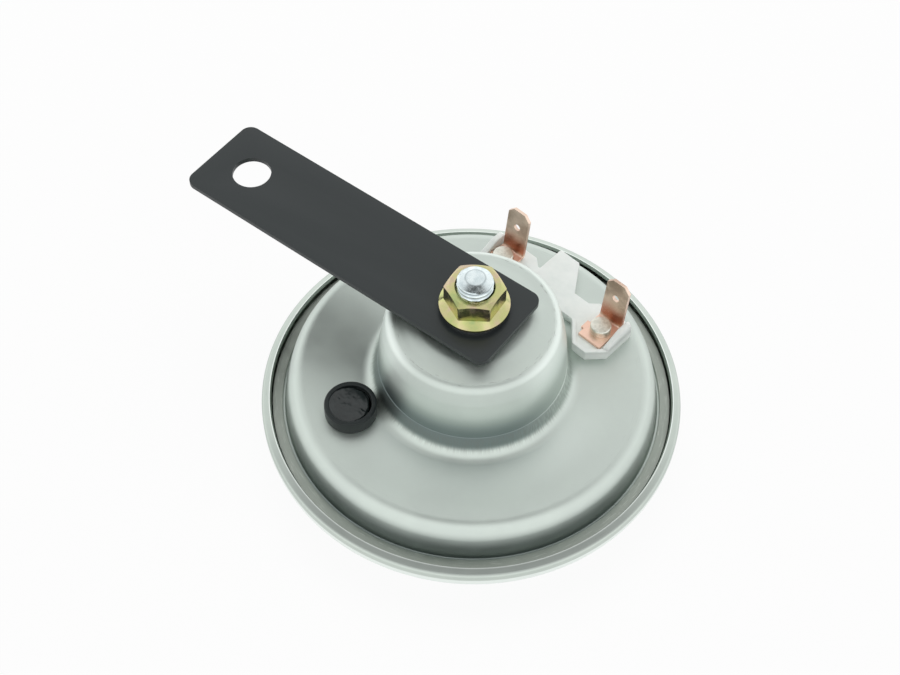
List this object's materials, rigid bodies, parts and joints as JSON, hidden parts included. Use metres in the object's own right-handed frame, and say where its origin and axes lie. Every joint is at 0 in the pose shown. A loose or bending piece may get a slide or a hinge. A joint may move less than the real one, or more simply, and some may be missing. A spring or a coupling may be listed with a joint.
{
  "type": "electric horn",
  "caption": "Round electric disc horn for a vehicle: pressed steel housing, folded tone disc, twin blade terminals and a flat mounting strap held by a flange nut",
  "frame": {"origin": "on the horn's axis, in the plane of the tone disc's front ridge and the stem's end face", "axes": "Z is the horn's axis, with the mounting stud up; the mounting strap reaches out along -X"},
  "size_m": [0.1239, 0.098, 0.054],
  "materials": {
    "zinc_steel": "satin, zinc plated",
    "ring_steel": "satin, scratched where it was folded",
    "disc_steel": "satin, zinc plated",
    "spring_steel": "bright cold-rolled",
    "soft_iron": "turned",
    "stud_steel": "bright zinc, bluish",
    "nut_steel": "iridescent yellow chromate",
    "strap_paint": "satin black",
    "copper": "bare stamped copper",
    "rivet_steel": "tumbled",
    "white_nylon": "milky, slightly translucent",
    "fibre": "pressed fibre",
    "gasket_paper": "oiled paper",
    "bobbin_plastic": "moulded",
    "coil_wire": "enamelled copper wire",
    "lead_sleeve": "insulated wire",
    "contact_metal": "tungsten",
    "bush_brass": "turned brass",
    "cap_rubber": "satin black",
    "sealant": "glossy, poured"
  },
  "bodies": {
    "root": {"rear_housing": "zinc_steel", "crimp_ring": "ring_steel", "tone_disc": "disc_steel", "diaphragm": "spring_steel", "gasket": "gasket_paper", "hub_washer_rear": "spring_steel", "hub_washer_front": "spring_steel", "armature": "soft_iron", "spring_washer": "stud_steel", "front_nut": "stud_steel", "pole_core": "stud_steel", "stud_spacer": "stud_steel", "mounting_strap": "strap_paint", "flange_nut": "nut_steel", "lock_washer": "spring_steel", "coil_bobbin": "bobbin_plastic", "coil_winding": "coil_wire", "yoke_plate": "soft_iron", "terminal_block": "white_nylon", "terminal_blade_left": "copper", "terminal_blade_right": "copper", "terminal_rivet_left": "rivet_steel", "terminal_rivet_right": "rivet_steel", "inner_insulator": "fibre", "lead_tag_left": "copper", "lead_tag_right": "copper", "adjuster_bush": "bush_brass", "adjusting_screw": "rivet_steel", "screw_pad": "fibre", "adjuster_cap": "cap_rubber", "sealant": "sealant", "breaker_bracket": "rivet_steel", "breaker_insulator_top": "fibre", "breaker_insulator_middle": "fibre", "breaker_insulator_bottom": "fibre", "breaker_clamp": "rivet_steel", "breaker_rivet": "rivet_steel", "contact_spring": "spring_steel", "contact_strip": "copper", "fixed_contact": "contact_metal", "moving_contact": "contact_metal", "spring_pusher": "fibre", "feed_lead": "lead_sleeve", "spring_lead": "lead_sleeve", "return_lead": "lead_sleeve"}
  },
  "joints": []
}
